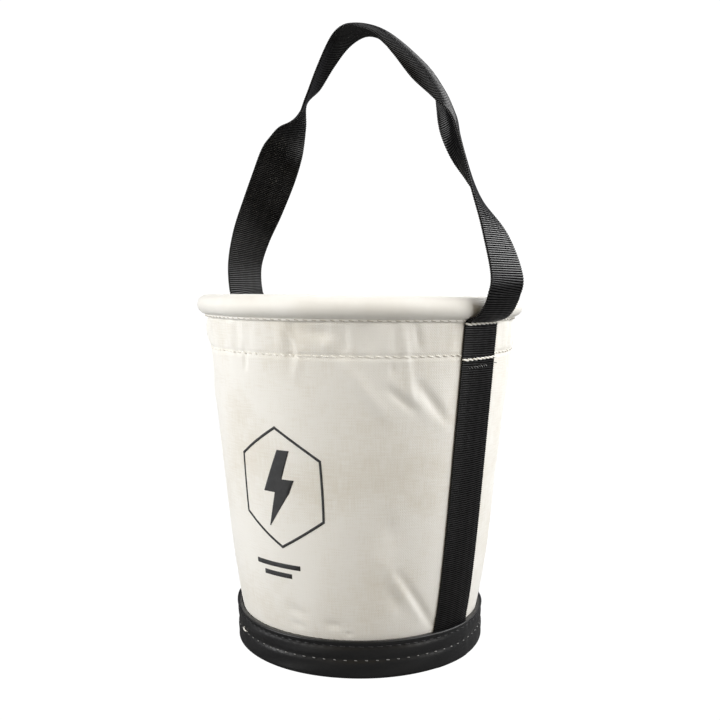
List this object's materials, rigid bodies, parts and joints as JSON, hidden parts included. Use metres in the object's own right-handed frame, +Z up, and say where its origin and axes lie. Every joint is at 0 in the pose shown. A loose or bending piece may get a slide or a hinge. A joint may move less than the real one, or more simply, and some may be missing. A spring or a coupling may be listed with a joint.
{
  "type": "tool bucket organizer",
  "caption": "Tapered round canvas tool bucket with a stiff rolled rim, black base boot, side straps and a webbing carry handle.",
  "frame": {"origin": "middle of the underside, on the surface that the bucket stands on", "axes": "+Z up along the bucket's axis, +X to one strap and -X to the other, -Y to the front panel between them"},
  "size_m": [0.336, 0.3044, 0.5733],
  "materials": {
    "canvas": "natural cotton duck, matt plain weave",
    "rim_wrap": "white coated cloth, smooth and matt",
    "hoop": "plain extruded tube",
    "board": "pressed fibre board",
    "boot_vinyl": "black vinyl, low sheen",
    "webbing": "black ribbed webbing",
    "white_thread": "waxed bonded thread",
    "black_thread": "waxed bonded thread"
  },
  "bodies": {
    "bucket": {"wall_canvas": "canvas", "hem_facing": "canvas", "floor_canvas": "canvas", "floor_stiffener": "board", "rim_hoop": "hoop", "rim_wrap": "rim_wrap", "base_boot": "boot_vinyl", "base_wear_disc": "boot_vinyl", "wall_strap_right": "webbing", "wall_strap_left": "webbing", "strap_upper_thread_right": "white_thread", "strap_upper_thread_left": "white_thread", "strap_lower_thread_right": "white_thread", "strap_lower_thread_left": "white_thread", "strap_tack_right": "black_thread", "strap_tack_left": "black_thread", "rim_thread_front": "white_thread", "rim_thread_back": "white_thread", "hem_thread_front": "white_thread", "hem_thread_back": "white_thread", "seam_thread_right": "white_thread", "seam_thread_left": "white_thread", "boot_upper_thread": "black_thread", "boot_lower_thread": "white_thread"},
    "handle": {"handle_strap": "webbing"}
  },
  "joints": [
    {"name": "handle_swing", "type": "hinge", "parent": "bucket", "child": "handle", "pos_m": [0, 0, 0.309], "axis": [1, 0, 0], "range_deg": [-125, 125]}
  ]
}
